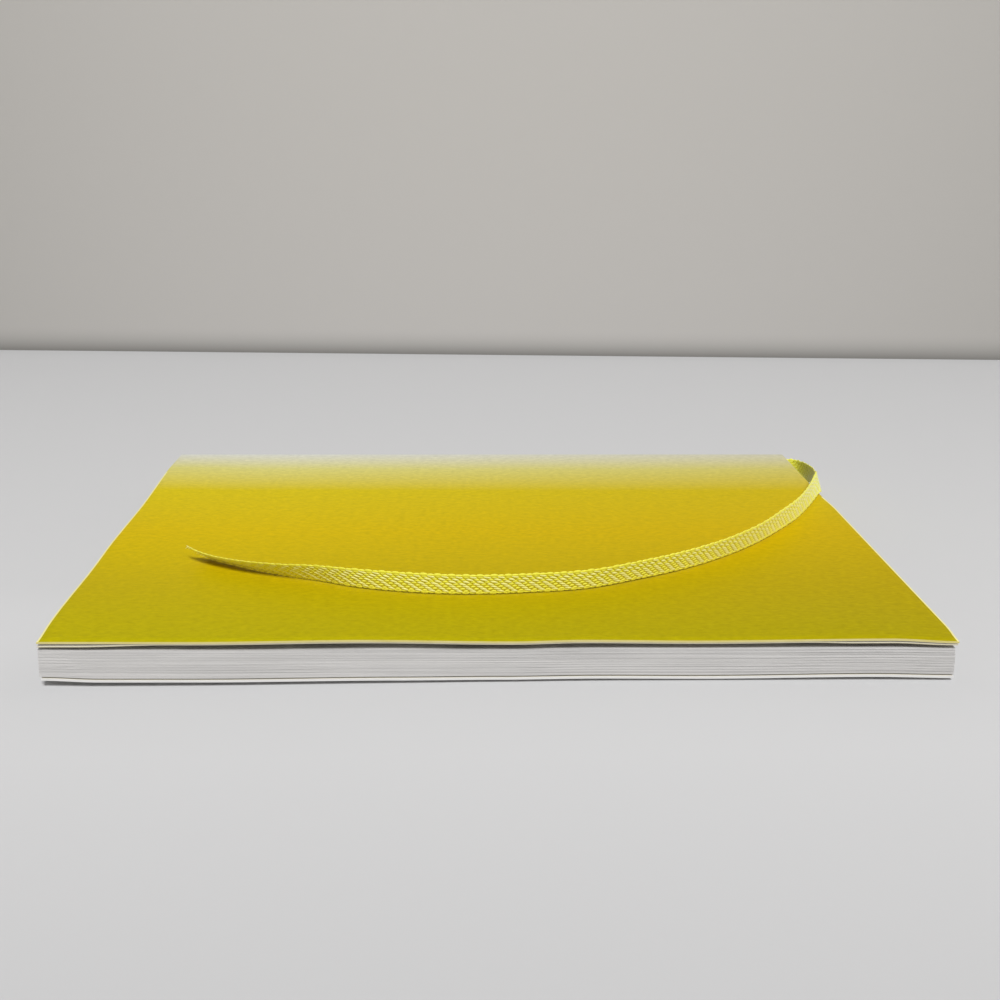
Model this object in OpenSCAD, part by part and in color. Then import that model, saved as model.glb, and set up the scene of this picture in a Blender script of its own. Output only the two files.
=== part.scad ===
// Softcover notebook, lying on its back cover, with a woven page-marker ribbon.
// X runs along the spine from tail (-) to head (+), Y from fore edge (-) to spine (+), Z is up.
// The origin is the centre of the footprint, on the surface that the book lies on.

/* [Cover] */
// Length of the covers along the spine
cover_l = 210; // [148:1:297]
// Width of the covers from fore edge to spine
cover_w = 148; // [105:1:210]
// Thickness of the cover card
cover_t = 0.45; // [0.3:0.05:1]
// Radius of the fold along each edge of the spine
crease_r = 0.4; // [0.2:0.05:0.8]
// Height by which the fore edge of the back cover bows up
back_bow = 0.5; // [0.1:0.1:1]
// Width of the strip of the back cover that bows up
bow_w = 44; // [20:1:60]

/* [Endpapers] */
// Thickness of the endpaper half that is glued to a cover
pastedown_t = 0.2; // [0.1:0.05:0.4]
// Thickness of the free half of an endpaper
flyleaf_t = 0.2; // [0.1:0.05:0.4]
// Height of the front flyleaf above the pages at the fore edge
flyleaf_lift = 0.4; // [0.1:0.05:0.6]

/* [Page block] */
// Number of sewn signatures
signatures = 10; // [4:1:16]
// Thickness of the block at the folds, where the thread swells it
block_spine_t = 8.2; // [5:0.1:20]
// Thickness of the block at the fore edge
block_fore_t = 6.95; // [4.5:0.05:19]
// Depth of the groove between two signatures on the cut edges
groove_d = 0.12; // [0.05:0.01:0.2]

/* [Binding] */
// Thickness of the lining glued over the folds
lining_t = 0.2; // [0.1:0.05:0.5]
// Distance of the lining's ends from head and tail
lining_inset = 4; // [0:0.5:15]
// Diameter of the sewing thread
thread_d = 0.24; // [0.15:0.01:0.4]
// Number of sewing stations along the spine
stations = 6; // [2:1:10]

/* [Ribbon] */
// Width of the ribbon
ribbon_w = 7; // [4:0.5:7.5]
// Thickness of the ribbon
ribbon_t = 0.45; // [0.3:0.05:0.6]
// Length of ribbon glued to the lining
glued_l = 35; // [15:1:80]

/* [Clearances] */
// Gap between sheets that lie on each other
sheet_gap = 0.05; // [0.02:0.01:0.1]

/* [Hidden] */

// Colours
yellow = [0.82, 0.71, 0.11];
white = [0.87, 0.86, 0.84];
paper = [0.80, 0.79, 0.77];
cream = [0.93, 0.89, 0.76];
gauze = [0.85, 0.84, 0.80];
silk = [0.86, 0.80, 0.26];

// Plan: the fore edge, the spine edge, and the layers that stack up inside the spine
fore_y = -cover_w / 2;
back_y = cover_w / 2;
spine_in_y = back_y - cover_t;
ribbon_y = spine_in_y - sheet_gap - ribbon_t / 2;
lining_y = ribbon_y - ribbon_t / 2 - sheet_gap;
thread_y = lining_y - lining_t - thread_d / 2;
fold_y = thread_y - thread_d / 2;
leaf_y = fold_y - 1;

// Heights at the spine
board_t = cover_t + pastedown_t;
under_t = board_t + flyleaf_t + 2 * sheet_gap;
spine_h = 2 * under_t + block_spine_t;
block_z = under_t;
spine_sig_t = block_spine_t / signatures;

// Heights at the fore edge
fore_z = under_t + back_bow;
fore_sig_t = block_fore_t / signatures;

// Folds of the signatures: each is an arc a little wider than its signature
fold_r = 0.52 * spine_sig_t;
fold_cy = fold_y - fold_r;
block_w = fold_y - fore_y;

// The bow of the back cover is an arc of this radius, level where it starts
bow_y = fore_y + bow_w;
bow_r = (bow_w * bow_w + back_bow * back_bow) / (2 * back_bow);
bow_steps = 8;

// Free ribbon, from the head of the spine to its tip: centre x, y, z and outward lean in degrees
ribbon_route = [
    [105.5, 73.2, 5.3, 0], [108.5, 72.5, 5.4, -2], [110.5, 69, 5.8, -6], [111, 62.5, 6.8, -11],
    [110.5, 54, 8.2, -16], [108.6, 45, 9.9, -20], [106.6, 38, 11.8, -20], [104.7, 32.5, 13.5, -17],
    [102.3, 27.5, 13.8, -13], [97.5, 18, 13.8, -5], [91, 7, 13.8, 1], [83, -3.5, 13.8, 6], [74, -14, 13.7, 13],
    [63, -24, 13.6, 17], [51, -32.5, 13.6, 19], [38, -39.5, 13.6, 21], [24, -45.5, 13.5, 22],
    [9, -48, 13.5, 22], [-6, -49, 13.5, 21], [-20, -48, 13.6, 20], [-34, -45, 13.5, 23],
    [-45, -41, 13.3, 32], [-54, -38, 12.9, 42], [-63, -34.3, 12.6, 50], [-71, -30, 12.4, 55],
    [-76, -27, 12.5, 53], [-79.5, -24, 12.7, 50]];
ribbon_steps = 3;
// Flattened corners of the ribbon's section
selvedge_w = 0.2;

// Height of the back cover's underside at a place across its width
function bow(y) = y > bow_y ? 0 : bow_r - sqrt(bow_r * bow_r - (bow_y - y) * (bow_y - y));

// Outline of a sheet of thickness t that follows the back cover at a height z, from the fore edge to y1
function bowed_sheet(z, t, y1) = concat(
    [for (i = [0 : bow_steps]) let (y = fore_y + i * bow_w / bow_steps) [y, bow(y) + z]],
    [[y1, z], [y1, z + t]],
    [for (i = [bow_steps : -1 : 0]) let (y = fore_y + i * bow_w / bow_steps) [y, bow(y) + z + t]]);

// Point on a smooth curve through b and c, with neighbours a and d
function between(a, b, c, d, t) =
    0.5 * (2 * b + (c - a) * t + (2 * a - 5 * b + 4 * c - d) * t * t + (3 * b - a - 3 * c + d) * t * t * t);

function smooth_line(p, steps) = let (n = len(p)) concat(
    [for (i = [0 : n - 2]) for (k = [0 : steps - 1])
        between(i == 0 ? 2 * p[0] - p[1] : p[i - 1], p[i], p[i + 1],
                i == n - 2 ? 2 * p[n - 1] - p[n - 2] : p[i + 2], k / steps)],
    [p[n - 1]]);

function unit(v) = v / norm(v);
function xyz(p) = [p[0], p[1], p[2]];

// Section of the ribbon: a flat strip with thin selvedges, as [along its width, along its thickness]
ribbon_section = let (w = ribbon_w / 2, t = ribbon_t / 2) [
    [w, t / 2], [w - selvedge_w, t], [selvedge_w - w, t], [-w, t / 2],
    [-w, -t / 2], [selvedge_w - w, -t], [w - selvedge_w, -t], [w, -t / 2]];

// One ring of the ribbon at point i of a line of points
function ribbon_ring(line, i) = let (
    n = len(line),
    along = unit(xyz(line[min(i + 1, n - 1)]) - xyz(line[max(i - 1, 0)])),
    outward = unit([-along[1], along[0], 0]),
    lean = line[i][3],
    leaning = cos(lean) * [0, 0, 1] + sin(lean) * outward,
    across = unit(leaning - (leaning * along) * along),
    through = cross(along, across))
    [for (q = ribbon_section) xyz(line[i]) + q[0] * across + q[1] * through];

// A sheet as long as the book, from its outline across the width
module along_spine(length) {
    translate([-length / 2, 0, 0]) rotate([90, 0, 90]) linear_extrude(length) children();
}

// Section of the page block, with a notch between signatures at the fore edge and round folds behind
module block_section() {
    intersection() {
        polygon(concat(
            [[fore_y, fore_z]],
            [[fold_y, block_z], [fold_y, block_z + block_spine_t], [fore_y, fore_z + block_fore_t]],
            [for (i = [signatures - 1 : -1 : 1]) for (k = [1, 0, -1])
                [fore_y + (k == 0 ? groove_d : 0), fore_z + i * fore_sig_t + k * groove_d / 2]]));
        union() {
            translate([fore_y - 1, 0]) square([fold_cy + fold_r * 0.2 - fore_y + 1, spine_h]);
            for (i = [0 : signatures - 1])
                translate([fold_cy, block_z + (i + 0.5) * spine_sig_t]) circle(r = fold_r, $fn = 48);
        }
    }
}

// Groove between two signatures on a cut end face, from the fore edge to the folds
module end_groove(i) {
    rise = block_z + i * spine_sig_t - fore_z - i * fore_sig_t;
    run = sqrt(block_w * block_w + rise * rise);
    side = groove_d * sqrt(2);
    translate([0, fore_y, fore_z + i * fore_sig_t]) rotate([atan2(rise, block_w), 0, 0])
        translate([0, run / 2, 0]) rotate([0, 45, 0]) cube([side, run + 2, side], center = true);
}

module page_block() {
    color(paper) difference() {
        along_spine(cover_l) block_section();
        for (i = [1 : signatures - 1]) for (end = [-1, 1])
            translate([end * cover_l / 2, 0, 0]) end_groove(i);
    }
}

// Strands that link the signatures over their folds, one at each sewing station
module sewing_thread() {
    pitch = cover_l / (stations + 1);
    color(cream) for (i = [1 : stations])
        translate([i * pitch - cover_l / 2, thread_y, block_z + spine_sig_t / 2])
            cylinder(d = thread_d, h = block_spine_t - spine_sig_t, $fn = 24);
}

module spine_lining() {
    color(gauze) translate([lining_inset - cover_l / 2, lining_y - lining_t, block_z])
        cube([cover_l - 2 * lining_inset, lining_t, block_spine_t]);
}

module cover_spine() {
    color(white) translate([-cover_l / 2, spine_in_y, cover_t + sheet_gap])
        cube([cover_l, cover_t, spine_h - 2 * (cover_t + sheet_gap)]);
}

// Outline of a flat cover panel with a rounded fold at the spine, seen from its end
module panel_section() {
    difference() {
        translate([fore_y, 0]) square([cover_w, cover_t]);
        translate([back_y - crease_r, cover_t - crease_r]) difference() {
            square(2 * crease_r);
            circle(r = crease_r, $fn = 48);
        }
    }
}

module front_cover() {
    color(yellow) translate([0, 0, spine_h - cover_t]) along_spine(cover_l) panel_section();
}

module front_pastedown() {
    color(white) translate([-cover_l / 2, fore_y, spine_h - board_t])
        cube([cover_l, leaf_y - fore_y, pastedown_t]);
}

module front_flyleaf() {
    spine_z = block_z + block_spine_t + sheet_gap;
    tip_z = fore_z + block_fore_t + flyleaf_lift;
    color(cream) along_spine(cover_l) polygon([
        [fore_y, tip_z], [leaf_y, spine_z], [leaf_y, spine_z + flyleaf_t], [fore_y, tip_z + flyleaf_t]]);
}

module back_cover() {
    color(white) difference() {
        along_spine(cover_l) polygon(bowed_sheet(0, cover_t, back_y));
        along_spine(cover_l + 2) translate([back_y - crease_r, crease_r]) difference() {
            translate([0, -2 * crease_r]) square(2 * crease_r);
            circle(r = crease_r, $fn = 48);
        }
    }
}

module back_pastedown() {
    color(white) along_spine(cover_l) polygon(bowed_sheet(cover_t, pastedown_t, leaf_y));
}

module back_flyleaf() {
    spine_z = board_t + sheet_gap;
    color(cream) along_spine(cover_l) polygon([
        [fore_y, spine_z + back_bow], [leaf_y, spine_z],
        [leaf_y, spine_z + flyleaf_t], [fore_y, spine_z + back_bow + flyleaf_t]]);
}

// End of the ribbon, glued to the lining in the hollow of the spine
module ribbon_anchor() {
    color(silk) translate([cover_l / 2 - glued_l, ribbon_y - ribbon_t / 2, ribbon_route[0][2] - ribbon_w / 2])
        cube([glued_l, ribbon_t, ribbon_w]);
}

// Free ribbon, standing on its edge in an arc across the front cover
module ribbon() {
    line = smooth_line(ribbon_route, ribbon_steps);
    n = len(line);
    m = len(ribbon_section);
    rings = [for (i = [0 : n - 1]) for (q = ribbon_ring(line, i)) q];
    sides = [for (i = [0 : n - 2]) for (k = [0 : m - 1])
        let (a = i * m + k, b = i * m + (k + 1) % m) each [[a, b, b + m], [a, b + m, a + m]]];
    ends = [[for (k = [m - 1 : -1 : 0]) k], [for (k = [0 : m - 1]) (n - 1) * m + k]];
    color(silk) polyhedron(rings, concat(sides, ends), convexity = 6);
}

page_block();
sewing_thread();
spine_lining();
cover_spine();
front_flyleaf();
back_flyleaf();
front_cover();
front_pastedown();
back_cover();
back_pastedown();
ribbon_anchor();
ribbon();
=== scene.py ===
"""Looks of a softcover notebook with a woven page-marker ribbon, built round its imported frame.

Everything is in metres: X runs along the spine from tail to head, Y from fore edge to spine, Z is up.
"""
import logging
import math
from collections.abc import Callable
from dataclasses import dataclass, field
from enum import Enum, IntEnum
from typing import Any

import bmesh
import bpy
import numpy as np
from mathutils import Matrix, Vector


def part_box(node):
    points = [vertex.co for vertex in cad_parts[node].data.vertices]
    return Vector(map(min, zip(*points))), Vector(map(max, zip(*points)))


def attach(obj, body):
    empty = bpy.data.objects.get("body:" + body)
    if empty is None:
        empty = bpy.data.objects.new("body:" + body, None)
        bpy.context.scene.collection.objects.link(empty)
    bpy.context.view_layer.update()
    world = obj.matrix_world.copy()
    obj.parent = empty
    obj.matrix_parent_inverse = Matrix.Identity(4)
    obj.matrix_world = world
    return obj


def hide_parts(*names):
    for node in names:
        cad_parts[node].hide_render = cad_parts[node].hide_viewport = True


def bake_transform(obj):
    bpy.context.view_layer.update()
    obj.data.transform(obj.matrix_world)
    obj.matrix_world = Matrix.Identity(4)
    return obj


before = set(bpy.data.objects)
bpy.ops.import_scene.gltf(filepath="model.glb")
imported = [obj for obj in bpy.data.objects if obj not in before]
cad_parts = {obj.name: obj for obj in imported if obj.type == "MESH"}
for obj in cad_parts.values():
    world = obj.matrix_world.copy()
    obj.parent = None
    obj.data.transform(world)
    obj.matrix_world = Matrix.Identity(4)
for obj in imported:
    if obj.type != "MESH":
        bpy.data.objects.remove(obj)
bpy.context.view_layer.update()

LOG = logging.getLogger("notebook")
MM = 0.001
PLAN = "plan"

Colour = tuple[float, float, float, float]
Crests = tuple[tuple[float, float], ...]
Station = tuple[float, float, float, float]
Face = tuple[int, ...]
Warp = Callable[[np.ndarray, np.ndarray, np.ndarray], np.ndarray]


def srgb(red: int, green: int, blue: int) -> Colour:
    """Turns a screen colour into the linear one that a shader takes.

    Args:
        red: Red from 0 to 255.
        green: Green from 0 to 255.
        blue: Blue from 0 to 255.

    Returns:
        The linear colour with an alpha of 1.
    """
    parts = [c / 255 for c in (red, green, blue)]
    linear = [c / 12.92 if c <= 0.04045 else ((c + 0.055) / 1.055) ** 2.4 for c in parts]
    return (linear[0], linear[1], linear[2], 1.0)


def eased(points: Crests, at: np.ndarray) -> np.ndarray:
    """Runs a gentle wave through its crests and hollows, level at each of them.

    Args:
        points: Places and heights of the crests and hollows, in order of place.
        at: Places at which the height is wanted.

    Returns:
        The heights.
    """
    places = np.array([p[0] for p in points])
    heights = np.array([p[1] for p in points])
    step = np.clip(np.searchsorted(places, at) - 1, 0, len(places) - 2)
    share = np.clip((at - places[step]) / (places[step + 1] - places[step]), 0, 1)
    share = share * share * (3 - 2 * share)
    return heights[step] + (heights[step + 1] - heights[step]) * share


def fading(distance: np.ndarray, reach: float) -> np.ndarray:
    """Gives 1 at distance 0, falling smoothly to 0 at the reach."""
    share = np.clip(1 - distance / reach, 0, 1)
    return share * share * (3 - 2 * share)


# Shader helpers


class Wire:
    """A value, colour or vector inside a material, on which arithmetic adds Math nodes."""

    def __init__(self, graph: "Graph", socket: bpy.types.NodeSocket) -> None:
        """Wraps an output socket of a graph's node."""
        self.graph = graph
        self.socket = socket

    def _maths(self, operation: str, first: Any, second: Any) -> "Wire":
        """Adds one Math node on two values."""
        return self.graph.node(
            "ShaderNodeMath", {"operation": operation}, {"Value": first, "Value_001": second}
        )

    def __add__(self, other: Any) -> "Wire":
        """Adds a number or another wire."""
        return self._maths("ADD", self, other)

    def __radd__(self, other: Any) -> "Wire":
        """Adds this wire to a number."""
        return self._maths("ADD", other, self)

    def __sub__(self, other: Any) -> "Wire":
        """Takes a number or another wire away."""
        return self._maths("SUBTRACT", self, other)

    def __rsub__(self, other: Any) -> "Wire":
        """Takes this wire away from a number."""
        return self._maths("SUBTRACT", other, self)

    def __mul__(self, other: Any) -> "Wire":
        """Multiplies by a number or another wire."""
        return self._maths("MULTIPLY", self, other)

    def __rmul__(self, other: Any) -> "Wire":
        """Multiplies a number by this wire."""
        return self._maths("MULTIPLY", other, self)


class Graph:
    """The node tree of one material, or of the sky."""

    def __init__(self, name: str, sky: bpy.types.World | None = None) -> None:
        """Makes an empty material of that name, or empties the sky's tree."""
        self.owner = sky or bpy.data.materials.new(name)
        self.owner.use_nodes = True
        self.tree = self.owner.node_tree
        self.tree.nodes.clear()

    def node(
        self, kind: str, settings: dict[str, Any], inputs: dict[str, Any], output: str = ""
    ) -> Wire:
        """Adds a node, sets it up, then fills or links its inputs.

        Args:
            kind: The node's type.
            settings: The node's own settings; "stops" are a ramp's places and colours.
            inputs: Values or wires for the inputs, by identifier or name.
            output: Identifier of the output that is wanted, or nothing for the first.

        Returns:
            The output as a wire.
        """
        made = self.tree.nodes.new(kind)
        for key, value in settings.items():
            if key == "stops":
                self._set_stops(made.color_ramp, value)
            else:
                setattr(made, key, value)
        for key, value in inputs.items():
            socket = next(s for s in made.inputs if key in (s.identifier, s.name))
            if isinstance(value, Wire):
                self.tree.links.new(value.socket, socket)
            else:
                socket.default_value = value
        found = [s for s in made.outputs if s.identifier == output]
        return Wire(self, found[0] if found else made.outputs[0])

    def finish(self, surface: Wire, end: str = "ShaderNodeOutputMaterial") -> Any:
        """Ends the tree in that surface shader and gives back what it belongs to."""
        output = self.tree.nodes.new(end)
        self.tree.links.new(surface.socket, output.inputs["Surface"])
        return self.owner

    @staticmethod
    def _set_stops(ramp: bpy.types.ColorRamp, stops: list[tuple[float, Colour]]) -> None:
        """Fills a colour ramp with its stops."""
        while len(ramp.elements) < len(stops):
            ramp.elements.new(0.5)
        for element, (place, colour) in zip(ramp.elements, stops):
            element.position = place
            element.color = colour

    def mix(self, first: Any, second: Any, factor: Any, blend: str = "MIX") -> Wire:
        """Mixes two colours.

        Args:
            first: Colour at factor 0.
            second: Colour at factor 1.
            factor: Share of the second colour.
            blend: How the colours combine.

        Returns:
            The mixed colour.
        """
        return self.node(
            "ShaderNodeMix",
            {"data_type": "RGBA", "blend_type": blend},
            {"Factor_Float": factor, "A_Color": first, "B_Color": second},
            "Result_Color",
        )

    def _stretched(self, vector: Wire, scale: tuple[float, float, float]) -> Wire:
        """Stretches a place by a scale on each axis."""
        return self.node(
            "ShaderNodeVectorMath", {"operation": "MULTIPLY"}, {"Vector": vector, "Vector_001": scale}
        )

    def plan(self, across: float, along: float) -> Wire:
        """Gives the place on a sheet's flat plan, stretched by two scales."""
        flat = self.node("ShaderNodeUVMap", {"uv_map": PLAN}, {})
        return self._stretched(flat, (across, along, 1.0))

    def place(self, scale: tuple[float, float, float] = (1.0, 1.0, 1.0)) -> Wire:
        """Gives the place in the object's own frame, stretched by a scale on each axis."""
        return self._stretched(self.node("ShaderNodeTexCoord", {}, {}, "Object"), scale)

    def axis(self, vector: Wire, letter: str) -> Wire:
        """Takes one of the three numbers out of a vector."""
        return self.node("ShaderNodeSeparateXYZ", {}, {"Vector": vector}, letter)

    def noise(self, vector: Wire, detail: float) -> Wire:
        """Gives smooth noise around 0.5."""
        return self.node("ShaderNodeTexNoise", {}, {"Vector": vector, "Scale": 1.0, "Detail": detail})

    def larger(self, first: Any, second: Any) -> Wire:
        """Gives the larger of two values."""
        return self.node(
            "ShaderNodeMath", {"operation": "MAXIMUM"}, {"Value": first, "Value_001": second}
        )

    def shade(
        self, colour: Any, roughness: float, height: Wire, **sockets: float
    ) -> bpy.types.Material:
        """Ends the material in a Principled shader.

        Args:
            colour: Base colour, a value or a wire.
            roughness: Roughness.
            height: Relief in metres.
            **sockets: Constants for other inputs, with _ for a space in their names.

        Returns:
            The finished material.
        """
        relief = self.node("ShaderNodeBump", {}, {"Height": height, "Strength": 1.0, "Distance": 1.0})
        inputs: dict[str, Any] = {"Base Color": colour, "Roughness": roughness, "Normal": relief}
        inputs.update({key.replace("_", " "): value for key, value in sockets.items()})
        return self.finish(self.node("ShaderNodeBsdfPrincipled", {}, inputs))


# Finishes


@dataclass(frozen=True)
class PrintedCard:
    """Uncoated card printed yellow, fading to bare white at the spine, with a fine long grain and a
    painted shade that darkens it towards the head.
    """

    name: str = "printed_card"
    white: Colour = srgb(215, 216, 212)
    lemon: Colour = srgb(215, 208, 124)
    light: Colour = srgb(211, 190, 20)
    yellow: Colour = srgb(209, 181, 2)
    olive: Colour = srgb(188, 168, 8)
    fore: Colour = srgb(177, 166, 5)
    # Painted shade that darkens the print towards the head
    head_shade: Colour = (0.9, 0.86, 0.7, 1.0)
    fleck_pale: Colour = (1.25, 1.24, 1.2, 1.0)
    fleck_deep: Colour = (0.75, 0.75, 0.72, 1.0)
    width: float = 148 * MM
    shade_from: float = -60 * MM
    shade_reach: float = 170 * MM
    back_y: float = 74 * MM

    def material(self) -> bpy.types.Material:
        """Makes the printed face of the front cover."""
        g = Graph(self.name)
        flat = g.plan(1.0, 1.0)
        along = g.axis(flat, "X")
        across = g.axis(flat, "Y")
        drift = g.noise(g.plan(9.0, 4.0), 2.0)
        from_spine = (self.back_y - across) * (1 / self.width) + (drift - 0.5) * 0.02
        stops = [
            (0.0, self.white),
            (0.12, self.lemon),
            (0.27, self.light),
            (0.52, self.yellow),
            (0.78, self.olive),
            (1.0, self.fore),
        ]
        ink = g.node("ShaderNodeValToRGB", {"stops": stops}, {"Fac": from_spine})
        # Painted shade: the print is darkened towards the head.
        to_head = (along - self.shade_from) * (1 / self.shade_reach)
        ink = g.mix(ink, self.head_shade, to_head, "MULTIPLY")
        grain = g.noise(g.plan(650.0, 1400.0), 3.0)
        fleck = g.noise(g.plan(330.0, 640.0), 2.0)
        pale = g.mix(ink, self.fleck_pale, 1.0, "MULTIPLY")
        deep = g.mix(ink, self.fleck_deep, 1.0, "MULTIPLY")
        toned = g.mix(pale, deep, (grain - 0.5) * 0.75 + (fleck - 0.5) * 0.5 + 0.5)
        return g.shade(toned, 0.5, grain * 18e-6 + fleck * 22e-6, Specular_IOR_Level=0.03)


@dataclass(frozen=True)
class PlainCard:
    """White card, as on the spine, the back cover and the inside of the covers."""

    name: str = "plain_card"
    colour: Colour = srgb(228, 227, 223)
    shadow: Colour = srgb(206, 204, 198)

    def material(self) -> bpy.types.Material:
        """Makes bare white card with its fine grain."""
        g = Graph(self.name)
        grain = g.noise(g.plan(420.0, 2600.0), 3.0)
        toned = g.mix(self.colour, self.shadow, grain * 0.5)
        return g.shade(toned, 0.55, grain * 15e-6, Specular_IOR_Level=0.25)


@dataclass(frozen=True)
class CutEdge:
    """Cut edge of the card, where its cream core and a little of the ink show."""

    name: str = "cut_edge"
    core: Colour = srgb(214, 204, 148)
    stain: Colour = srgb(200, 186, 104)

    def material(self) -> bpy.types.Material:
        """Makes the cut edge with uneven ink along it."""
        g = Graph(self.name)
        patches = g.noise(g.place((220.0, 220.0, 900.0)), 3.0)
        fibres = g.noise(g.place((1500.0, 1500.0, 9000.0)), 2.0)
        toned = g.mix(self.core, self.stain, patches)
        return g.shade(toned, 0.8, fibres * 12e-6, Specular_IOR_Level=0.2)


@dataclass(frozen=True)
class Paper:
    """Sheet paper with a soft fibrous surface."""

    name: str
    colour: Colour
    shadow: Colour

    def material(self) -> bpy.types.Material:
        """Makes the paper with a faint cloudiness."""
        g = Graph(self.name)
        cloud = g.noise(g.plan(160.0, 160.0), 4.0)
        fibres = g.noise(g.plan(3000.0, 3000.0), 2.0)
        toned = g.mix(self.colour, self.shadow, cloud * 0.5)
        return g.shade(toned, 0.85, fibres * 6e-6, Specular_IOR_Level=0.15)


@dataclass(frozen=True)
class LeafEdges:
    """Trimmed edges of the pages: fine streaks that run along the leaves."""

    name: str = "leaf_edges"
    colour: Colour = srgb(202, 200, 198)
    shadow: Colour = srgb(132, 130, 128)

    def material(self) -> bpy.types.Material:
        """Makes the page edges, each leaf a little lighter or darker than the next."""
        g = Graph(self.name)
        leaves = g.noise(g.place((9.0, 9.0, 7000.0)), 1.0)
        smudge = g.noise(g.place((45.0, 45.0, 500.0)), 3.0)
        toned = g.mix(self.colour, self.shadow, (leaves - 0.38) * 1.2 + (smudge - 0.5) * 0.35)
        fibres = g.noise(g.place((2500.0, 2500.0, 12000.0)), 2.0)
        return g.shade(toned, 0.9, fibres * 8e-6, Specular_IOR_Level=0.1)


@dataclass(frozen=True)
class Yarn:
    """Shiny multifilament yarn of the ribbon."""

    name: str
    colour: Colour
    shadow: Colour
    shine: float

    def material(self) -> bpy.types.Material:
        """Makes the yarn, its filaments running along the ribbon."""
        g = Graph(self.name)
        filaments = g.noise(g.plan(500.0, 16000.0), 2.0)
        patches = g.noise(g.plan(60.0, 400.0), 2.0)
        toned = g.mix(self.colour, self.shadow, filaments * 0.5 + (patches - 0.5) * 0.4)
        return g.shade(
            toned,
            0.32,
            filaments * 4e-6,
            Specular_IOR_Level=self.shine,
            Sheen_Weight=0.2,
            Sheen_Roughness=0.35,
        )


@dataclass(frozen=True)
class Gauze:
    """Open-weave lining cloth, stiff with glue."""

    name: str = "gauze"
    colour: Colour = srgb(222, 218, 206)
    shadow: Colour = srgb(190, 184, 168)
    pitch: float = 0.9 * MM

    def material(self) -> bpy.types.Material:
        """Makes the gauze with its threads both ways."""
        g = Graph(self.name)
        turns = math.tau / self.pitch
        place = g.place((turns, turns, turns))
        weft = g.node("ShaderNodeMath", {"operation": "SINE"}, {"Value": g.axis(place, "X")})
        warp = g.node("ShaderNodeMath", {"operation": "SINE"}, {"Value": g.axis(place, "Z")})
        weave = weft * warp
        toned = g.mix(self.colour, self.shadow, weave * 0.5 + 0.5)
        return g.shade(toned, 0.9, weave * 30e-6, Specular_IOR_Level=0.1)


@dataclass(frozen=True)
class Thread:
    """Waxed linen sewing thread with a visible twist."""

    name: str = "linen_thread"
    colour: Colour = srgb(232, 226, 208)
    shadow: Colour = srgb(186, 176, 150)

    def material(self) -> bpy.types.Material:
        """Makes the thread with its twisted plies."""
        g = Graph(self.name)
        twist = g.node(
            "ShaderNodeTexWave",
            {"bands_direction": "DIAGONAL"},
            {"Vector": g.place(), "Scale": 900.0, "Distortion": 0.5},
            "Fac",
        )
        toned = g.mix(self.colour, self.shadow, twist)
        return g.shade(toned, 0.6, twist * 20e-6, Specular_IOR_Level=0.3)


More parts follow.
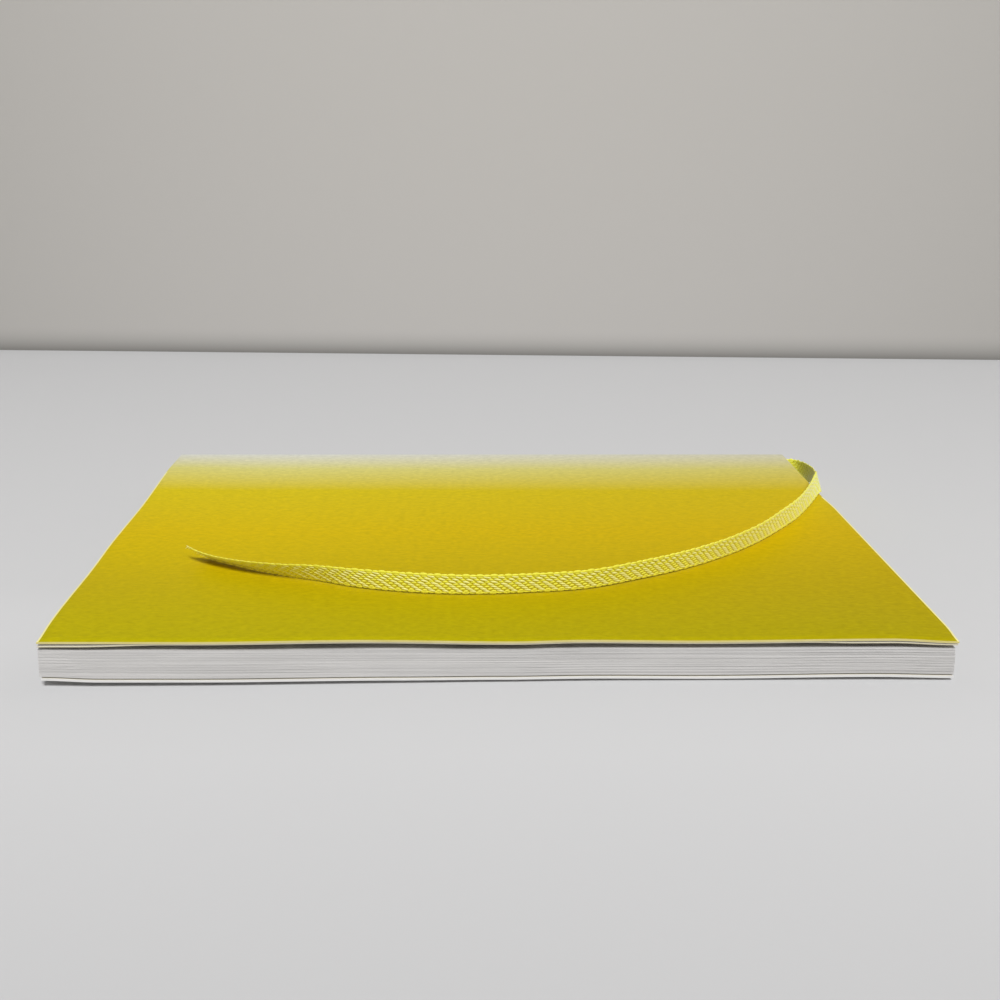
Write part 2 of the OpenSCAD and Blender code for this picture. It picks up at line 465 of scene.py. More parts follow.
@dataclass(frozen=True)
class Studio:
    """Plain pale floor and wall, darkened by painted shade in places, soft lamps, and the camera."""

    floor_colour: Colour = srgb(206, 206, 207)
    # Painted shade on the floor towards the camera
    near_shade_colour: Colour = srgb(195, 195, 196)
    near_from: float = -0.105
    near_reach: float = 0.071
    wall_colour: Colour = srgb(191, 188, 184)
    # Painted shade towards the wall's top and sides
    far_shade_colour: Colour = srgb(173, 170, 165)
    far_up: float = 1.2
    far_out: float = 0.36
    # Painted shade at the wall's foot
    foot_shade_colour: Colour = srgb(132, 130, 126)
    floor_reach: float = 3.0
    wall_y: float = 0.2912
    wall_slope: float = -0.048
    wall_h: float = 2.6
    foot_h: float = 0.014
    floor_dip: Crests = ((-110, -1.9), (55, 0.0))
    dip_rows: int = 25
    dip_from: float = -20 * MM
    dip_to: float = -66 * MM
    dip_left: float = -0.12
    dip_right: float = 0.06
    focal: float = 1143.6
    sensor: float = 36.0
    picture: float = 1000.0
    centre_px: float = 456.0
    camera_at: tuple[float, float, float] = (-10.25 * MM, -309.4 * MM, 125.44 * MM)
    camera_turn: tuple[float, float, float] = (1.2385, -0.002, -0.0007)
    white: Colour = (1.0, 1.0, 1.0, 1.0)
    sky: float = 0.12
    lamp_power: float = 48.0
    lamp_size: float = 0.5
    lamp_at: tuple[float, float, float] = (0.12, -1.4, 1.7)

    def set_camera(self) -> bpy.types.Object:
        """Puts the camera where the photograph was taken from."""
        data = bpy.data.cameras.new("camera")
        data.sensor_width = self.sensor
        data.lens = self.focal / self.picture * self.sensor
        data.shift_x = 0.5 - self.centre_px / self.picture
        data.clip_start = 0.01
        camera = bpy.data.objects.new("camera", data)
        bpy.context.scene.collection.objects.link(camera)
        camera.rotation_mode = "YXZ"
        camera.rotation_euler = self.camera_turn
        camera.location = self.camera_at
        bpy.context.scene.camera = camera
        return camera

    def _floor_finish(self) -> bpy.types.Material:
        """Makes the plain matt floor, with painted shade that darkens it a little towards the camera."""
        g = Graph("floor")
        nearer = (self.near_from - g.axis(g.place(), "Y")) * (1 / self.near_reach)
        colour = g.mix(self.floor_colour, self.near_shade_colour, nearer)
        return g.finish(g.node("ShaderNodeBsdfDiffuse", {}, {"Color": colour}))

    def _wall_finish(self) -> bpy.types.Material:
        """Makes the plain matt wall, with painted shade at its foot and towards its top and sides, and
        see-through from behind.
        """
        g = Graph("wall")
        height = g.axis(g.place(), "Z")
        # Painted shade: darker upwards and towards the sides
        outer = g.axis(g.place(), "X") * (1 / self.far_out)
        far = height * (1 / self.far_up) + outer * outer
        plain = g.mix(self.wall_colour, self.far_shade_colour, far)
        # Painted shade at the wall's foot, where it meets the floor
        foot = g.larger(1.0 - height * (1 / self.foot_h), 0.0)
        colour = g.mix(plain, self.foot_shade_colour, foot * foot)
        matt = g.node("ShaderNodeBsdfDiffuse", {}, {"Color": colour})
        behind = g.node("ShaderNodeNewGeometry", {}, {}, "Backfacing")
        clear = g.node("ShaderNodeBsdfTransparent", {}, {})
        both = g.node("ShaderNodeMixShader", {}, {"Fac": behind, "Shader": matt, "Shader_001": clear})
        return g.finish(both)

    def _floor_line(self, low: float, high: float) -> np.ndarray:
        """Places of the floor's rows: close together from low to high, and out to its ends."""
        reach = self.floor_reach
        return np.concatenate([[-reach], np.linspace(low, high, self.dip_rows), [reach]])

    def build_stage(self) -> None:
        """Builds the floor, a little lower in front at the left, with a wall behind it, aslant."""
        reach = self.floor_reach
        xs = self._floor_line(self.dip_left, self.dip_right)
        ys = self._floor_line(self.dip_to, self.dip_from)
        ys = np.insert(ys, -1, self.wall_y)
        x, y = np.meshgrid(xs, ys, indexing="ij")
        low = fading(y - self.dip_to, self.dip_from - self.dip_to)
        z = eased(self.floor_dip, x / MM) * MM * low
        y = y + np.where(y == self.wall_y, self.wall_slope * x, 0.0)
        vertices = np.stack([x, y, z], -1).reshape(-1, 3).tolist()
        faces = grid_quads(np.arange(x.size).reshape(x.shape))
        count = len(vertices)
        for side, height in ((-reach, 0.0), (reach, 0.0), (reach, self.wall_h), (-reach, self.wall_h)):
            vertices.append((side, self.wall_y + self.wall_slope * side, height))
        faces.append((count, count + 1, count + 2, count + 3))
        mesh = bpy.data.meshes.new("stage")
        mesh.from_pydata(vertices, [], faces)
        mesh.materials.append(self._floor_finish())
        mesh.materials.append(self._wall_finish())
        mesh.polygons.foreach_set("use_smooth", np.ones(len(faces), bool))
        mesh.polygons[len(faces) - 1].material_index = 1
        stage = bpy.data.objects.new("stage", mesh)
        bpy.context.scene.collection.objects.link(stage)

    def set_lights(self) -> None:
        """Lights the object with an even sky and one soft lamp, high up in front."""
        world = bpy.data.worlds.new("sky")
        bpy.context.scene.world = world
        g = Graph("sky", world)
        light = g.node("ShaderNodeBackground", {}, {"Color": self.white, "Strength": self.sky})
        seen = g.node("ShaderNodeBackground", {}, {"Color": self.far_shade_colour, "Strength": 1.0})
        straight, mirrored, through = (
            g.node("ShaderNodeLightPath", {}, {}, f"Is {ray} Ray")
            for ray in ("Camera", "Glossy", "Transmission")
        )
        factor = g.larger(g.larger(straight, mirrored), through)
        both = g.node("ShaderNodeMixShader", {}, {"Fac": factor, "Shader": light, "Shader_001": seen})
        g.finish(both, "ShaderNodeOutputWorld")
        data = bpy.data.lights.new("window", "AREA")
        data.shape = "SQUARE"
        data.size = self.lamp_size
        data.energy = self.lamp_power
        lamp = bpy.data.objects.new("window", data)
        bpy.context.scene.collection.objects.link(lamp)
        lamp.location = self.lamp_at
        lamp.rotation_mode = "QUATERNION"
        lamp.rotation_quaternion = (-Vector(self.lamp_at)).to_track_quat("-Z", "Y")
        bpy.context.scene.view_settings.view_transform = "Standard"


# Meshes


def grid_quads(grid: np.ndarray) -> list[Face]:
    """Joins a grid of vertex numbers into faces, row by row."""
    corners = np.stack([grid[:-1, :-1], grid[1:, :-1], grid[1:, 1:], grid[:-1, 1:]], -1)
    return [tuple(quad) for quad in corners.reshape(-1, 4).tolist()]


def ring_quads(rings: int, sides: int, first: int = 0) -> list[Face]:
    """Joins closed rings of vertices into faces.

    Args:
        rings: Number of rings.
        sides: Number of vertices in each.
        first: Number of the first vertex.

    Returns:
        The faces, ring by ring.
    """
    starts = range(first, first + (rings - 1) * sides, sides)
    turn = [(k, (k + 1) % sides) for k in range(sides)]
    return [(r + k, r + nxt, r + sides + nxt, r + sides + k) for r in starts for k, nxt in turn]


def make_piece(
    name: str,
    vertices: np.ndarray,
    faces: list[Face],
    materials: list[bpy.types.Material],
    slots: np.ndarray | None,
    plan: np.ndarray,
    sharp: float = 40.0,
) -> bpy.types.Object:
    """Makes one closed mesh with smooth shading, sharp corners and a flat plan.

    Args:
        name: The piece's name.
        vertices: Places of the vertices, in metres.
        faces: Vertex numbers of each face.
        materials: The piece's materials.
        slots: Material number of each face, or nothing for the first.
        plan: Place of each vertex on the flat sheet, for the grain of its finish.
        sharp: Angle in degrees past which an edge is sharp.

    Returns:
        The new object.
    """
    mesh = bpy.data.meshes.new(name)
    mesh.from_pydata(vertices.tolist(), [], faces)
    for material in materials:
        mesh.materials.append(material)
    if slots is not None:
        mesh.polygons.foreach_set("material_index", np.asarray(slots, np.int32))
    corners = np.zeros(len(mesh.loops), np.int32)
    mesh.loops.foreach_get("vertex_index", corners)
    layer = mesh.uv_layers.new(name=PLAN)
    layer.uv.foreach_set("vector", plan[corners].astype(np.float32).ravel())
    shell = bmesh.new()
    shell.from_mesh(mesh)
    bmesh.ops.recalc_face_normals(shell, faces=shell.faces)
    shell.to_mesh(mesh)
    shell.free()
    mesh.polygons.foreach_set("use_smooth", np.ones(len(mesh.polygons), bool))
    mesh.set_sharp_from_angle(angle=math.radians(sharp))
    mesh.update()
    piece = bpy.data.objects.new(name, mesh)
    bpy.context.scene.collection.objects.link(piece)
    return piece


def report(piece: bpy.types.Object) -> None:
    """Logs a piece that is done."""
    LOG.info("%s: %d vertices, %d faces", piece.name, len(piece.data.vertices), len(piece.data.polygons))


def put(piece: bpy.types.Object, node: str, body: str) -> None:
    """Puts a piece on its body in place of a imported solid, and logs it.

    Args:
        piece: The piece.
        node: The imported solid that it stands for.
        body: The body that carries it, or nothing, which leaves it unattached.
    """
    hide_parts(node)
    if body:
        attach(piece, body)
    report(piece)


def lines(y: np.ndarray, outer_z: np.ndarray, inner_z: np.ndarray) -> tuple[np.ndarray, np.ndarray]:
    """Gives the outer and the inner line of a sheet, from its places and heights across the book."""
    return np.stack([y, outer_z], 1), np.stack([y, inner_z], 1)


class Side(Enum):
    """Edges of a sheet."""

    FORE = "fore"
    SPINE = "spine"
    TAIL = "tail"
    HEAD = "head"


class Part(IntEnum):
    """Parts of a sheet that each take their own finish."""

    OUTER = 0
    CUT = 1
    INNER = 2
    # A worn rim at head or tail, painted lighter as a highlight
    RUBBED = 3


@dataclass
class Sheet:
    """A sheet of card or paper that runs the length of the book."""

    name: str
    outer: np.ndarray
    inner: np.ndarray
    length: float
    warp: Warp
    rim: float = 0.1 * MM
    drops: dict[Side, float] = field(default_factory=lambda: dict.fromkeys(Side, 0.3))
    spread: Callable[[np.ndarray, np.ndarray], np.ndarray] | None = None
    # Reach of the worn rims that are painted lighter as a highlight
    rubbed_highlight_to: dict[Side, float] = field(default_factory=dict)
    columns: int = 90

    def build(self, materials: list[bpy.types.Material]) -> bpy.types.Object:
        """Builds the sheet as one closed shell.

        Args:
            materials: The finishes of the outer face, the cut edges, the inner face and the
            rubbed rims at head and tail, which on the front cover are painted lighter as a highlight.

        Returns:
            The new piece.
        """
        half = self.length / 2
        xs = np.concatenate(
            [[-half], np.linspace(-half + self.rim, half - self.rim, self.columns), [half]]
        )
        n, m = len(xs), len(self.outer)
        worn = np.zeros((n, m))
        for side, where in (
            (Side.TAIL, (0, slice(None))),
            (Side.HEAD, (-1, slice(None))),
            (Side.FORE, (slice(None), 0)),
            (Side.SPINE, (slice(None), -1)),
        ):
            if side in self.drops:
                worn[where] = np.maximum(worn[where], self.drops[side])
        outer = self.outer[None] + (self.inner - self.outer)[None] * worn[..., None]
        inner = np.broadcast_to(self.inner[None], (n, m, 2))
        both_sides = []
        for profile in (outer, inner):
            x = np.broadcast_to(xs[:, None], (n, m))
            y, z = profile[..., 0], profile[..., 1]
            out = self.spread(x, y) if self.spread else 0.0
            both_sides.append(np.stack([x + out, y, z + self.warp(x, y, z)], -1).reshape(-1, 3))
        vertices = np.concatenate(both_sides)
        run = np.concatenate([[0], np.cumsum(np.linalg.norm(np.diff(self.outer, axis=0), axis=1))])
        flat = np.stack(np.broadcast_arrays(xs[:, None], self.outer[0, 0] + run[None]), -1).reshape(-1, 2)
        plan = np.concatenate([flat, flat])
        faces, slots = self._faces(n, m)
        return make_piece(self.name, vertices, faces, materials, slots, plan)

    def _rim_part(self, side: Side, y: float) -> Part:
        """Tells whether a worn rim shows the cut edge, is rubbed and painted lighter as a highlight, or
        keeps the face's finish.
        """
        if side in (Side.FORE, Side.SPINE):
            return Part.CUT
        return Part.RUBBED if y < self.rubbed_highlight_to.get(side, math.inf) else Part.OUTER

    def _faces(self, n: int, m: int) -> tuple[list[Face], np.ndarray]:
        """Joins the vertices of both sides into faces.

        Args:
            n: Number of stations along the book.
            m: Number of points across it.

        Returns:
            The faces and the material number of each.
        """
        grid = np.arange(n * m).reshape(n, m)
        faces: list[Face] = []
        slots: list[int] = []
        rims = {
            Side.TAIL: lambda i, j: i == 0,
            Side.HEAD: lambda i, j: i == n - 2,
            Side.FORE: lambda i, j: j == 0,
            Side.SPINE: lambda i, j: j == m - 2,
        }
        for number, quad in enumerate(grid_quads(grid)):
            i, j = divmod(number, m - 1)
            worn = [side for side in self.drops if rims[side](i, j)]
            faces += [quad, tuple(v + n * m for v in quad)]
            slots += [self._rim_part(worn[0], self.outer[j, 0]) if worn else Part.OUTER, Part.INNER]
        loop = [*grid[:, 0], *grid[-1, 1:], *grid[-2::-1, -1], *grid[0, -2:0:-1]]
        for a, b in zip(loop, loop[1:] + loop[:1]):
            faces.append((a, b, b + n * m, a + n * m))
            slots.append(Part.CUT)
        return faces, np.array(slots)


# The ribbon


@dataclass
class Course:
    """The line that a ribbon follows, with its lean, as a smooth curve."""

    points: list[Station]
    steps: int = 12
    centre: np.ndarray = field(init=False)
    across: np.ndarray = field(init=False)
    through: np.ndarray = field(init=False)
    run: np.ndarray = field(init=False)

    def __post_init__(self) -> None:
        """Works out the curve's stations and the ribbon's directions at each."""
        route = np.array(self.points, float)
        route = np.vstack([2 * route[0] - route[1], route, 2 * route[-1] - route[-2]])
        line = []
        for i in range(1, len(route) - 2):
            a, b, c, d = route[i - 1 : i + 3]
            for t in np.arange(self.steps) / self.steps:
                line.append(
                    0.5 * (2 * b + (c - a) * t + (2 * a - 5 * b + 4 * c - d) * t**2
                           + (3 * b - a - 3 * c + d) * t**3)
                )
        line.append(route[-2])
        line = np.array(line)
        self.centre = line[:, :3]
        along = np.gradient(self.centre, axis=0)
        along /= np.linalg.norm(along, axis=1)[:, None]
        outward = np.stack([-along[:, 1], along[:, 0], np.zeros(len(along))], 1)
        outward /= np.linalg.norm(outward, axis=1)[:, None]
        lean = np.radians(line[:, 3])[:, None]
        leaning = np.cos(lean) * np.array([0.0, 0.0, 1.0]) + np.sin(lean) * outward
        leaning -= (leaning * along).sum(1)[:, None] * along
        self.across = leaning / np.linalg.norm(leaning, axis=1)[:, None]
        self.through = np.cross(along, self.across)
        steps = np.linalg.norm(np.diff(self.centre, axis=0), axis=1)
        self.run = np.concatenate([[0], np.cumsum(steps)])

    @property
    def length(self) -> float:
        """Length along the middle of the ribbon."""
        return float(self.run[-1])

    def at(self, run: np.ndarray, across: np.ndarray, through: np.ndarray) -> np.ndarray:
        """Places points given along, across and through the ribbon.

        Args:
            run: Distances from the start, along the ribbon.
            across: Distances from its middle, towards its upper edge.
            through: Heights above its middle plane, towards its inner face.

        Returns:
            The points, in metres.
        """
        shape = np.shape(run)
        run = np.ravel(run)
        parts = []
        for source in (self.centre, self.across, self.through):
            parts.append(np.stack([np.interp(run, self.run, source[:, k]) for k in range(3)], 1))
        beyond = np.clip(run - self.run[-1], 0, None)
        ahead = self.centre[-1] - self.centre[-2]
        ahead = ahead / np.linalg.norm(ahead)
        places = parts[0] + beyond[:, None] * ahead
        places = places + np.ravel(across)[:, None] * parts[1] + np.ravel(through)[:, None] * parts[2]
        return places.reshape(*shape, 3)


class Strand(IntEnum):
    """Yarns of the ribbon, each with its own finish."""

    GROUND = 0
    LONG = 1
    SHORT = 2
    SELVEDGE = 3


@dataclass
class WovenRibbon:
    """A herringbone ribbon: a thin ground, floats of yarn on both faces, and looped selvedges."""

    name: str
    course: Course
    width: float = 7 * MM
    pitch: float = 3.45 * MM
    rows: int = 7
    row_pitch: float = 0.78 * MM
    ground_half: float = 0.07 * MM
    ground_inset: float = 0.65 * MM
    ground_bevel: float = 0.3 * MM
    relief: float = 0.17 * MM
    tilt: float = math.radians(17)
    long_float: tuple[float, float] = (0.98 * MM, 0.38 * MM)
    short_float: tuple[float, float] = (0.64 * MM, 0.37 * MM)
    long_loop: tuple[float, float] = (1.05 * MM, 0.6 * MM)
    short_loop: tuple[float, float] = (0.85 * MM, 0.4 * MM)
    chevron: float = 0.25
    uneven: float = 0.06
    inner_relief: float = 0.6
    short_relief: float = 0.85
    loop_high: float = 0.2 * MM
    loop_tuck: float = 0.2 * MM
    filaments: int = 9
    filament_radius: float = 0.13 * MM
    filament_root: float = 1.2 * MM
    slant: float = 0.0
    seed: int = 5
    parts: list[np.ndarray] = field(default_factory=list)
    faces: list[Face] = field(default_factory=list)
    slots: list[int] = field(default_factory=list)
    plans: list[np.ndarray] = field(default_factory=list)
    count: int = 0

    def _end(self, across: np.ndarray) -> np.ndarray:
        """Where the ribbon was cut, which is aslant from edge to edge."""
        return self.course.length - self.slant * (0.5 - across / self.width)

    def _add(
        self, run: np.ndarray, across: np.ndarray, through: np.ndarray, faces: list[Face], slot: Strand
    ) -> None:
        """Adds a part given in the ribbon's own directions."""
        places = self.course.at(run, across, through)
        self.parts.append(places.reshape(-1, 3))
        self.plans.append(np.stack([np.ravel(run), np.ravel(across)], 1))
        self.faces += [tuple(int(v) + self.count for v in face) for face in faces]
        self.slots += [slot] * len(faces)
        self.count += run.size

    def _ground(self) -> None:
        """Adds the thin ground that the floats lie on."""
        half, thin = self.width / 2 - self.ground_inset, self.ground_half
        flat = half - self.ground_bevel
        section = [(half, 0), (flat, thin), (0, thin), (-flat, thin)]
        section += [(-a, -b) for a, b in section]
        across = np.array([a for a, _ in section])
        through = np.array([b for _, b in section])
        share = self.course.run / self.course.length
        run = share[:, None] * self._end(across)[None]
        shape = run.shape
        faces = ring_quads(*shape)
        faces += [tuple(range(shape[1])), tuple(range(run.size - shape[1], run.size))]
        across, through = np.broadcast_to(across, shape), np.broadcast_to(through, shape)
        self._add(run, across, through, faces, Strand.GROUND)

    def _bulges(self, where: np.ndarray, slot: Strand, rings: int = 4, sides: int = 6) -> None:
        """Adds rounded floats.

        Args:
            where: One row for each float: run, across, half length, half width, half height,
                tilt, and the height of its middle, which is negative on the outer face.
            slot: The yarn that they are made of.
            rings: Rings between the two ends of a float.
            sides: Sides of each ring.
        """
        t = np.concatenate([[-1.0], np.sin(np.linspace(-1.15, 1.15, rings)) * 0.93, [1.0]])
        radius = np.sqrt(np.clip(1 - t**2, 0, None))
        turn = np.arange(sides) * math.tau / sides
        middle = [np.stack([np.full(sides, t[k]), radius[k] * np.cos(turn), radius[k] * np.sin(turn)])
                  for k in range(1, rings + 1)]
        unit = np.concatenate([[[t[0]], [0.0], [0.0]], *middle, [[t[-1]], [0.0], [0.0]]], axis=1)
        long = where[:, 2:3] * unit[0]
        wide = where[:, 3:4] * unit[1]
        tilt = where[:, 5:6]
        run = where[:, 0:1] + long * np.cos(tilt) - wide * np.sin(tilt)
        across = where[:, 1:2] + long * np.sin(tilt) + wide * np.cos(tilt)
        through = where[:, 6:7] + where[:, 4:5] * unit[2]
        each = unit.shape[1]
        last_ring = each - 1 - sides
        one = ring_quads(rings, sides, 1)
        for k in range(sides):
            nxt = (k + 1) % sides
            one.append((0, 1 + nxt, 1 + k))
            one.append((last_ring + k, last_ring + nxt, each - 1))
        faces = [tuple(v + i * each for v in face) for i in range(len(where)) for face in one]
        self._add(run, across, through, faces, slot)

    def _floats(self, random: np.random.Generator) -> None:
        """Adds the long floats and the short ones between them, in chevrons; on the inner face the long
        floats take the short floats' yellower yarn as painted shade.
        """
        long: list[tuple[float, ...]] = []
        short: list[tuple[float, ...]] = []
        for face in (-1, 1):
            for row in range(self.rows):
                offset = row - (self.rows - 1) / 2
                across = offset * self.row_pitch
                lead = (0.5 * (face > 0) - self.chevron * abs(offset)) * self.pitch
                grain_tilt = self.tilt * (0.7 if offset > 0 else -0.5)
                end = float(self._end(np.array(across)))
                for i in range(-1, int(self.course.length / self.pitch) + 2):
                    middle = (i + 1) * self.pitch + lead
                    jitter = 1 + self.uneven * random.standard_normal(3)
                    height = face * self.ground_half
                    relief = self.relief if face < 0 else self.inner_relief * self.relief
                    low = self.short_relief * relief
                    # Painted shade: on the inner face the long floats take the short floats' yellower
                    # yarn.
                    for at, (half_l, half_w), half_h, tilt, into in (
                        (middle, self.long_float, relief, self.tilt, long if face < 0 else short),
                        (middle + 0.5 * self.pitch, self.short_float, low, grain_tilt, short),
                    ):
                        if half_l < at < end - half_l * 0.6:
                            into.append(
                                (at, across, half_l * jitter[0], half_w * jitter[1],
                                 half_h * jitter[2], tilt, height)
                            )
        self._bulges(np.array(long), Strand.LONG)
        self._bulges(np.array(short), Strand.SHORT)

    def _selvedges(self, random: np.random.Generator) -> None:
        """Adds the loops of yarn that turn round each edge."""
        loops = []
        for edge in (-1, 1):
            for i in range(int(self.course.length / self.pitch) + 1):
                for part, tucked, (half_l, half_w) in (
                    (0.78, 0.0, self.long_loop),
                    (0.28, self.loop_tuck, self.short_loop),
                ):
                    at = (i + part) * self.pitch
                    across = edge * (self.width / 2 - half_w - tucked)
                    end = float(self._end(np.array(across)))
                    if half_l < at < end - half_l * 0.5:
                        size = 1 + 0.05 * random.standard_normal()
                        loops.append(
                            (at, across, half_l * size, half_w * size, self.loop_high, 0.0, 0.0)
                        )
        self._bulges(np.array(loops), Strand.SELVEDGE, rings=5, sides=8)

    def _fray(self, random: np.random.Generator) -> None:
        """Adds the loose filaments at the cut end."""
        sides, rings = 5, 7
        for across in np.linspace(-0.36, 0.47, self.filaments) * self.width:
            start = float(self._end(np.array(across))) - self.filament_root
            reach = random.uniform(1.5, 3.2) * MM
            drift = random.uniform(-1.6, 0.4) * MM
            lift = random.uniform(-0.9, 0.2) * MM
            t = np.linspace(0, 1, rings)
            radius = self.filament_radius * (1 - 0.4 * t)
            turn = np.arange(sides) * math.tau / sides
            run = np.broadcast_to((start + reach * t)[:, None], (rings, sides))
            side = across + drift * t**2
            wide = side[:, None] + radius[:, None] * np.cos(turn)
            high = (lift * t**2)[:, None] + radius[:, None] * np.sin(turn)
            faces = ring_quads(rings, sides)
            faces += [tuple(range(sides)), tuple(range((rings - 1) * sides, rings * sides))]
            self._add(run, wide, high, faces, Strand.LONG)

    def build(self, materials: list[bpy.types.Material], frayed: bool) -> bpy.types.Object:
        """Weaves the ribbon along its course.

        Args:
            materials: Finishes of the ground, long floats, short floats and selvedges.
            frayed: Whether the far end is loose and frayed.

        Returns:
            The new piece.
        """
        random = np.random.default_rng(self.seed)
        self._ground()
        self._floats(random)
        self._selvedges(random)
        if frayed:
            self._fray(random)
        vertices = np.concatenate(self.parts)
        plan = np.concatenate(self.plans)
        return make_piece(self.name, vertices, self.faces, materials, np.array(self.slots), plan, 60.0)


@dataclass
class Marker:
    """The page marker: a ribbon glued inside the spine, that lies in an arc on the front cover."""

    route_mm: tuple[Station, ...] = (
        (105.5, 73.2, 5.3, 0), (108.5, 72.5, 5.4, -2), (110.5, 69, 5.8, -6), (111, 62.5, 6.8, -11),
        (110.5, 54, 8.2, -16), (108.6, 45, 9.9, -20), (106.6, 38, 11.8, -20), (104.7, 32.5, 13.5, -17),
        (102.3, 27.5, 13.8, -13), (97.5, 18, 13.8, -5), (91, 7, 13.8, 1), (83, -3.5, 13.8, 6),
        (74, -14, 13.7, 13), (63, -24, 13.6, 17), (51, -32.5, 13.6, 19), (38, -39.5, 13.6, 21),
        (24, -45.5, 13.5, 22), (9, -48, 13.5, 22), (-6, -49, 13.5, 21), (-20, -48, 13.6, 20),
        (-34, -45, 13.5, 23), (-45, -41, 13.3, 32), (-54, -38, 12.9, 42), (-63, -34.3, 12.6, 50),
        (-71, -30, 12.4, 55), (-76, -27, 12.5, 53), (-79.5, -24, 12.7, 50),
    )
    length: float = 0.2702
    width: float = 7 * MM
    cut_slant: float = 3.4 * MM
    bend_from: tuple[float, float, float] = (0.1055, 0.0735, 0.0053)
    bend_to: tuple[float, float, float] = (0.1055, 0.055, 0.0053)

    def finishes(self) -> list[bpy.types.Material]:
        """Finishes of the ground, the long and short floats, and the selvedges; the long floats are
        painted paler as a highlight.
        """
        return [
            Yarn("ribbon_ground", srgb(238, 230, 40), srgb(204, 192, 16), 0.4).material(),
            # Painted highlight: the long floats' yarn is paler than the short floats'
            Yarn("ribbon_long_float_highlight", srgb(255, 255, 176), srgb(255, 254, 132), 1.0).material(),
            # This yarn also covers the inner face's long floats, as painted shade
            Yarn("ribbon_short_float_and_inner_shade", srgb(255, 255, 104), srgb(252, 248, 66), 0.8).material(),
            Yarn("ribbon_selvedge", srgb(255, 255, 96), srgb(252, 246, 60), 0.7).material(),
        ]

    def build(self) -> None:
        """Builds the free ribbon and its glued end, and sets what the glued end rides on."""
        finishes = self.finishes()
        course = Course([(x * MM, y * MM, z * MM, lean) for x, y, z, lean in self.route_mm])
        free = WovenRibbon("marker_ribbon", course, width=self.width, slant=self.cut_slant)
        ribbon = free.build(finishes, frayed=True)
        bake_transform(ribbon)
        put(ribbon, "ribbon", "")
        low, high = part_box("ribbon_anchor")
        middle = (low + high) / 2
        straight = [(x, middle.y, middle.z, 0.0) for x in np.linspace(low.x, high.x, 5)]
        glued = WovenRibbon("marker_glued_end", Course(straight), width=self.width, seed=6)
        put(glued.build(finishes, frayed=False), "ribbon_anchor", "book_block")


# The book


@dataclass
class Lie:
    """How the used book lies: gentle waves along its fore edge and its tail."""

    fore_y: float = -74 * MM
    tail_x: float = -105 * MM
    cover_waves: Crests = (
        (-105, -0.1), (-70, -0.1), (-30, 0.4), (3, 0.0), (20, 0.4), (45, 0.2), (90, 0.68), (105, 0.0),
    )
    block_waves: Crests = (
        (-105, -0.6), (-92, -0.75), (-60, -0.93), (-24, -0.61), (0, -0.75), (24, -0.4), (45, -0.4),
        (62, -0.35), (88, -0.08), (105, -0.36),
    )
    under_waves: Crests = (
        (-105, -0.3), (-92, -0.78), (-69, -0.78), (-23, -0.3), (0, -0.12), (24, 0.17), (46, 0.1),
        (87, 0.56), (105, 0.25),
    )
    tail_waves: Crests = (
        (-74, 0.05), (-58, 0.35), (-32, 0.0), (-8, 0.45), (20, 0.0), (52, 0.6), (74, 0.0),
    )
    paper_droop: Crests = (
        (-105, -0.56), (-96, -0.54), (-76, 0.0), (70, 0.0), (82, -0.34), (96, -0.32), (105, -0.2),
    )
    head_run: Crests = (
        (-74, 0.15), (-66, 0.75), (16, 0.75), (31, 0.0), (74, 0.0),
    )
    tail_run: Crests = (
        (-74, 0.05), (-64, 0.4), (-20, 0.35), (0, 0.15), (74, 0.2),
    )
    cover_reach: float = 30 * MM
    block_reach: float = 44 * MM
    tail_reach: float = 34 * MM
    tail_share: float = 0.35
    droop_reach: float = 14 * MM
    run_reach: float = 14 * MM

    @staticmethod
    def _wave(points: Crests, at: np.ndarray) -> np.ndarray:
        """Height in metres of a wave given in millimetres."""
        return eased(points, at / MM) * MM

    def cover(self, x: np.ndarray, y: np.ndarray, z: np.ndarray) -> np.ndarray:
        """Rise of the front cover."""
        fore = self._wave(self.cover_waves, x) * fading(y - self.fore_y, self.cover_reach)
        tail = self._wave(self.tail_waves, y) * fading(x - self.tail_x, self.tail_reach)
        return fore + tail

    def still(self, x: np.ndarray, y: np.ndarray, z: np.ndarray) -> np.ndarray:
        """Keeps a piece flat."""
        return np.zeros(np.shape(x))

    def endpaper(self, x: np.ndarray, y: np.ndarray, z: np.ndarray) -> np.ndarray:
        """Rise of the paper under the front cover, which droops off it near both corners."""
        droop = self._wave(self.paper_droop, x) * fading(y - self.fore_y, self.droop_reach)
        return self.cover(x, y, z) + droop

    def under(self, x: np.ndarray, y: np.ndarray, z: np.ndarray) -> np.ndarray:
        """Rise of the back cover."""
        return self._wave(self.under_waves, x) * fading(y - self.fore_y, self.block_reach)

    def run_out(self, x: np.ndarray, y: np.ndarray) -> np.ndarray:
        """Way by which the front cover runs out past the pages at head and tail."""
        head = self._wave(self.head_run, y) * fading(-self.tail_x - x, self.run_reach)
        tail = self._wave(self.tail_run, y) * fading(x - self.tail_x, self.run_reach)
        return head - tail

    def block_top(self, x: np.ndarray, y: np.ndarray) -> np.ndarray:
        """Rise of the top of the page block."""
        fore = self._wave(self.block_waves, x) * fading(y - self.fore_y, self.block_reach)
        tail = self._wave(self.tail_waves, y) * fading(x - self.tail_x, self.tail_reach)
        return fore + self.tail_share * tail


